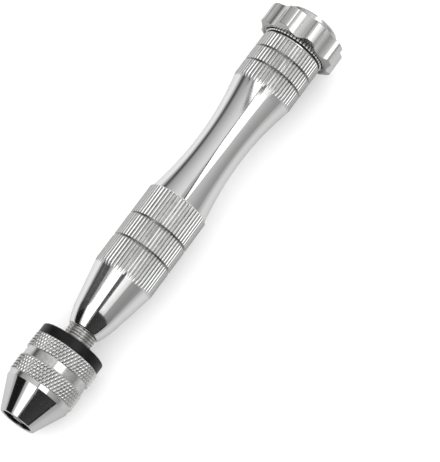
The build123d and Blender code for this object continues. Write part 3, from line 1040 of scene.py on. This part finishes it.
def ground_steel(name, light, dark, finish):
    """Ground steel with grinding lines, a thin film of oil and small rust-free stains."""
    look = Look(name)
    along = look.noise((3, 0.045, 0.045), 3.0)
    lines = look.add(look.scaled(along, 0.6), look.scaled(look.rings(0.07), 0.4))
    stain = look.level(look.noise((1.8, 1.8, 1.8), 4.0), 0.5, 0.75)
    dull = look.add(look.level(lines, 0.35, 0.65, 0, 0.4), look.scaled(stain, 0.5))
    look.colour(look.blend(dull, light, dark))
    rough = look.level(lines, 0.3, 0.7, finish - 0.06, finish + 0.08)
    look.roughness(look.add(rough, look.scaled(stain, -0.1)))
    look.bump(lines, 0.0006)
    return look.material


def jaw_steel():
    return ground_steel("jaw_steel", (0.95, 0.945, 0.93), (0.62, 0.61, 0.60), 0.36)


def hardened_steel():
    return ground_steel("hardened_steel", (0.44, 0.44, 0.45), (0.26, 0.26, 0.27), 0.30)


def bearing_steel():
    return ground_steel("bearing_steel", (0.72, 0.72, 0.73), (0.56, 0.56, 0.57), 0.16)


def cage_brass():
    """Stamped brass with darker tarnish and rolling lines."""
    look = Look("cage_brass")
    tarnish = look.level(look.noise((1.2, 1.2, 1.2), 5.0), 0.42, 0.7)
    lines = look.noise((0.05, 1.5, 1.5), 2.0)
    look.colour(look.blend(tarnish, (0.83, 0.64, 0.30), (0.52, 0.36, 0.16)))
    rough = look.level(tarnish, 0, 1, 0.24, 0.42)
    look.roughness(look.add(rough, look.level(lines, 0.3, 0.7, -0.03, 0.05)))
    look.bump(lines, 0.0006)
    return look.material


def satin_cap():
    """Satin aluminium: brushed along the lobes, turned on the faces, dulled by handling, with painted shade
    on the underside.
    """
    look = Look("satin_cap")
    across = look.facing_along()
    brushed = look.noise((14, 0.16, 0.16), 4.0)
    fine = look.noise((5, 0.05, 0.05), 2.0)
    turned_face = look.rings(0.12, 3.0)
    along = look.add(look.scaled(brushed, 0.65), look.scaled(fine, 0.35))
    one = look.scaled(along, look.maths("SUBTRACT", 1.0, across))
    grain = look.add(one, look.scaled(turned_face, across))
    smudge = look.level(look.noise((6, 4, 4), 4.0), 0.45, 0.75)
    streaks = look.level(grain, 0.36, 0.64)
    under = look.attribute("underside")
    clean = look.blend(streaks, (0.78, 0.775, 0.77), (0.97, 0.965, 0.96))
    worn = look.blend(look.scaled(smudge, 0.5), clean, (0.82, 0.815, 0.80))
    # Painted shade: the underside that faces the handle is darker.
    look.colour(look.blend(under, worn, (0.50, 0.495, 0.49)))
    rough = look.add(look.level(grain, 0.3, 0.7, 0.15, 0.24), look.scaled(smudge, 0.05))
    look.roughness(look.add(rough, look.scaled(under, -0.10)))
    look.bump(grain, 0.0075)
    return look.material


def black_ring():
    """Satin black ring: slightly mottled, with dust in its pores and its rims rubbed paler."""
    look = Look("black_ring", metallic=0.0)
    mottle = look.noise((1.6, 1.6, 1.6), 5.0)
    grain = look.noise((0.12, 0.12, 0.12), 3.0)
    turned_marks = look.noise((0.10, 6, 6), 3.0)
    worn = look.level(look.add(look.attribute("rim"), look.scaled(mottle, 0.9)), 1.25, 1.5)
    body = look.blend(look.level(mottle, 0.35, 0.7), (0.0035, 0.0035, 0.004), (0.007, 0.007, 0.008))
    look.colour(look.blend(look.scaled(worn, 0.5), body, (0.16, 0.155, 0.15)))
    look.roughness(look.level(look.add(mottle, look.scaled(turned_marks, 0.6)), 0.5, 1.1, 0.24, 0.38))
    look.shader.inputs["Specular IOR Level"].default_value = 0.26
    look.bump(turned_marks, 0.0016)
    look.bump(grain, 0.0012)
    return look.material


def seal_rubber():
    """Black rubber with a dull bloom and fine pores."""
    look = Look("seal_rubber", metallic=0.0)
    bloom = look.level(look.noise((1.0, 1.0, 1.0), 4.0), 0.45, 0.75)
    pores = look.noise((0.06, 0.06, 0.06), 2.0)
    look.colour(look.blend(bloom, grey(0.008), grey(0.022)))
    look.roughness(look.level(pores, 0.3, 0.7, 0.5, 0.7))
    look.shader.inputs["Specular IOR Level"].default_value = 0.3
    look.bump(pores, 0.002)
    return look.material


LOOKS = (polished_chrome, knurled_chrome, hardened_steel, jaw_steel, black_ring, threaded_steel,
         polished_handle, tail_metal, seal_rubber, bearing_steel, cage_brass, satin_cap)


def paint(obj, name, value_at):
    """Stores a number from 0 to 1 on every vertex, from its station and radius."""
    layer = obj.data.attributes.new(name, "FLOAT", "POINT")
    for index, vertex in enumerate(obj.data.vertices):
        station = (vertex.co.x - NOSE_X) / MM
        radius = axis_distance(vertex) / MM
        layer.data[index].value = min(1.0, max(0.0, value_at(station, radius)))


def handle_hollow(station, radius):
    """How deep a point of the handle lies in a flute or a groove, which sets its painted shade."""
    in_front = FRONT_GRIP_START - 0.2 < station < FRONT_GRIP_END
    in_rear = REAR_GRIP_START - 0.2 < station < HANDLE_END - TAIL_RIM - 0.01
    return max(0.0, (GRIP_R - radius) / FLUTE_DEPTH) ** 4 if in_front or in_rear else 0.0


def sleeve_hollow(station, radius):
    """How deep a point of the sleeve lies between the diamonds, which sets its painted shade. The channel
    has one even painted shade all over.
    """
    if not NOSE_RING_END < station < SLEEVE_END:
        return 0.0
    if FRONT_KNURL_END <= station <= CHANNEL_END:
        return CHANNEL_SHADE
    return max(0.0, (KNURL_R - radius) / KNURL_DEPTH) ** 2.2


def nose_hollow(station, radius):
    """The bore of the nose cone, which gets painted shade."""
    slope = (SHELL_BEARING_R - NOSE_OPENING_R) / SHELL_BEARING_START
    return 1.0 - (radius - NOSE_OPENING_R - slope * station) / 0.15


# How deep a point lies in the roots of the thread, which sets its painted shade.
def spindle_hollow(station, radius):
    return (SPINDLE_R - radius) / THREAD_DEPTH


def bead_hollow(station, radius):
    """Painted shade in the gaps between the beads, and on the neck that holds the seal."""
    return (COLLAR_R - radius - 0.16) / 0.16 if station > HANDLE_END else 0.0


def cap_underside(station, radius):
    """The bevel and the recess that face the handle, which get painted shade."""
    bevel = CAP_START + max(0.0, radius - CAP_BEVEL_R) * CAP_BEVEL_SLOPE
    return 1.0 if station < bevel + 0.01 else 0.0


def ring_rim(station, radius):
    """Close to the ring's outer edges."""
    off_front = abs(station - REAR_RING_START) + abs(radius - REAR_RING_R)
    off_rear = abs(station - REAR_RING_END + 0.25) + abs(radius - REAR_RING_R + 0.25)
    return 1.0 - min(off_front, off_rear) / 0.5


def paint_pieces(pieces):
    paint(pieces["chuck_nose_cone"], "hollow", nose_hollow)
    paint(pieces["handle_body"], "hollow", handle_hollow)
    paint(pieces["chuck_sleeve"], "hollow", sleeve_hollow)
    paint(pieces["chuck_spindle"], "hollow", spindle_hollow)
    paint(pieces["tail_plug"], "hollow", bead_hollow)
    paint(pieces["chuck_rear_ring"], "rim", ring_rim)
    paint(pieces["swivel_cap"], "underside", cap_underside)


def dress(pieces):
    """Gives every piece, and every CAD node that stays, the look of its slot in the record."""
    looks = {make.__name__: make() for make in LOOKS}
    slots = {row["node"]: row["material_slot"] for row in frame["record"]["subparts"]}
    for node, obj in {**frame["nodes"], **pieces}.items():
        obj.data.materials.clear()
        obj.data.materials.append(looks[slots[node]])


def make_floor():
    """A pale floor that touches both the chuck and the cap, as a table would, with a darker painted
    reflection in the metal.
    """
    slope = FLOOR_RISE / FLOOR_RISE_LENGTH
    half = FLOOR_SIZE / 2
    bm = bmesh.new()
    corners = [(-half, -half), (half, -half), (half, half), (-half, half)]
    cap_x = place((CAP_START + CAP_END) / 2, 0, 0)[0]
    bm.faces.new([bm.verts.new((x, y, (cap_x - x) * slope)) for x, y in corners])
    floor = finish_mesh("floor", bm)
    look = Look("floor", metallic=0.0)
    path = look.nodes.new("ShaderNodeLightPath")
    apart = look.nodes.new("ShaderNodeVectorMath")
    apart.operation = "DISTANCE"
    look.put(apart.inputs[0], look.place)
    look.put(apart.inputs[1], FLOOR_BRIGHTEST)
    # Painted reflection: rays that the metal reflects see the floor darker, and darker still further out.
    far = look.level(apart.outputs["Value"], FLOOR_NEAR, FLOOR_FAR)
    in_metal = look.blend(far, FLOOR_IN_METAL, FAR_FLOOR_IN_METAL)
    look.colour(look.blend(path.outputs["Is Glossy Ray"], FLOOR_SHADE, in_metal))
    look.roughness(0.9)
    look.shader.inputs["Specular IOR Level"].default_value = 0.0
    floor.data.materials.append(look.material)


# The cards of the studio, which only the metal reflects. Each has its extent towards the nose, its two
# edges around the tool at the first and the last of those angles, the softness of its edges, and its
# brightness at its two edges. Angles are in degrees. Angle 0 around the tool is STUDIO_TURN from straight
# up, towards -Y, and positive angles go on towards -Y. Later cards cover earlier ones. CARD_END is the
# softness of a card's two ends, and WALL_SHADE and SIDE_LIGHT fill what no card covers, above and below
# SIDE_START_END.
STUDIO_TURN = 10.3
CARDS = [
    ("left_wall", (-90, 90), (-92, -92), (-10, -10), 10, 0.32, 0.72),
    ("right_wall", (-90, 90), (20, 20), (76, 76), 10, 0.52, 0.30),
    ("right_edge", (-90, 90), (76, 76), (104, 104), 8, 0.27, 0.60),
    ("left_gap", (-90, 14), (-101, -101), (-83, -83), 14, 0.07, 0.09),
    ("wedge_shade", (-2, 10), (-22, -66), (-9, -9), 9, 0.08, 0.20),
    ("front_gap", (4, 90), (-101, -101), (-60, -60), 3, 0.045, 0.07),
    ("softbox", (2, 9.5), (-15, -58), (-9, -9), 2, 1.5, 1.5),
    ("softbox_front", (9.5, 64), (-58, -38), (-9, -9), 5, 1.35, 1.5),
    ("line_tail", (-42, -15), (8, -11.5), (13, -8), 1.0, 0.015, 0.015),
    ("line", (-15, 90), (-11.5, -13), (-8, -9), 1.2, 0.015, 0.015),
    ("strip_tail", (-40, -15), (13, -8), (14.5, 25), 1.0, 1.6, 1.6),
    ("strip", (-15, 6), (-8, -9), (25, 26), 2, 1.6, 1.5),
    ("front_line", (6, 13), (-9, -9), (3.5, 3.5), 2, 0.05, 0.12),
    ("front_strip", (6, 13), (3.5, 3.5), (32, 34), 3, 1.05, 0.75),
    ("front_right", (6, 13), (33, 33), (78, 78), 6, 0.32, 0.22),
    ("nose_gap", (14, 64), (-97, -97), (-60, -60), 2, 0.012, 0.012),
    ("nose_card", (12, 64), (-6, -6), (76, 76), 1.5, 0.034, 0.050),
    ("card_border", (12, 64), (74, 74), (84, 84), 1.5, 0.008, 0.008),
    ("tail_light", (-90, -46), (-95, -95), (90, 90), 10, 0.75, 0.65),
    ("dark_ahead", (57, 90), (-180, -180), (180, 180), 5, 0.03, 0.03),
]
CARD_END = 1.5
WALL_SHADE = 0.40
SIDE_LIGHT = 0.70
SIDE_START_END = (84, 104)
SKY = 1.5


def between(world, value, edges, soft):
    """1 between two edges and 0 outside them. The edges are soft, and are numbers or come from nodes."""
    past = [world.maths("SUBTRACT", value, edge) for edge in edges]
    rising, falling = [world.level(off, -soft / 2, soft / 2, smooth=True) for off in past]
    return world.maths("SUBTRACT", rising, falling)


def studio_angles(world):
    """The angle of a direction towards the nose and around the tool, in degrees."""
    where = world.nodes.new("ShaderNodeTexCoord")
    turn = world.nodes.new("ShaderNodeVectorRotate")
    turn.rotation_type = "X_AXIS"
    turn.inputs["Angle"].default_value = -radians(STUDIO_TURN)
    world.put(turn.inputs["Vector"], where.outputs["Generated"])
    parts = world.nodes.new("ShaderNodeSeparateXYZ")
    world.put(parts.inputs["Vector"], turn.outputs["Vector"])
    x, y, z = parts.outputs
    to_nose = world.maths("ARCSINE", world.scaled(x, -1.0))
    around = world.maths("ARCTAN2", world.scaled(y, -1.0), z)
    return [world.scaled(angle, 180 / pi) for angle in (to_nose, around)]


def make_studio():
    """Soft, plain light, with the cards that only the metal reflects."""
    studio = bpy.data.worlds.new("studio")
    bpy.context.scene.world = studio
    studio.use_nodes = True
    studio.cycles.sampling_method = "NONE"
    world = Nodes(studio.node_tree)
    to_nose, around = studio_angles(world)
    sides = world.level(world.maths("ABSOLUTE", around), *SIDE_START_END, smooth=True)
    colour = world.blend(sides, grey(WALL_SHADE), grey(SIDE_LIGHT))
    for _, along, low, high, soft, first, last in CARDS:
        edges = [world.level(to_nose, *along, *ends) for ends in (low, high)]
        across = between(world, around, edges, soft)
        mask = world.maths("MULTIPLY", between(world, to_nose, along, CARD_END), across)
        shade = world.blend(world.level(around, min(low), max(high), smooth=True), grey(first), grey(last))
        colour = world.blend(mask, colour, shade)
    path = world.nodes.new("ShaderNodeLightPath")
    plain = world.blend(path.outputs["Is Camera Ray"], grey(SKY), grey(1.0))
    both = world.blend(path.outputs["Is Glossy Ray"], plain, colour)
    world.put(world.nodes["Background"].inputs["Color"], both)


def make_sun():
    """Broad key light from the left of the picture."""
    lamp = bpy.data.lights.new("key", "SUN")
    lamp.energy = 0.3
    lamp.angle = radians(28)
    sun = add_object("key", lamp)
    sun.rotation_mode = "QUATERNION"
    sun.rotation_quaternion = Vector((0.62, -0.62, -0.6)).to_track_quat("-Z", "Y")
    sun.visible_glossy = False


pieces = make_pieces()
paint_pieces(pieces)
dress(pieces)
make_camera()
make_floor()
make_studio()
make_sun()
bpy.context.scene.view_settings.view_transform = "Standard"
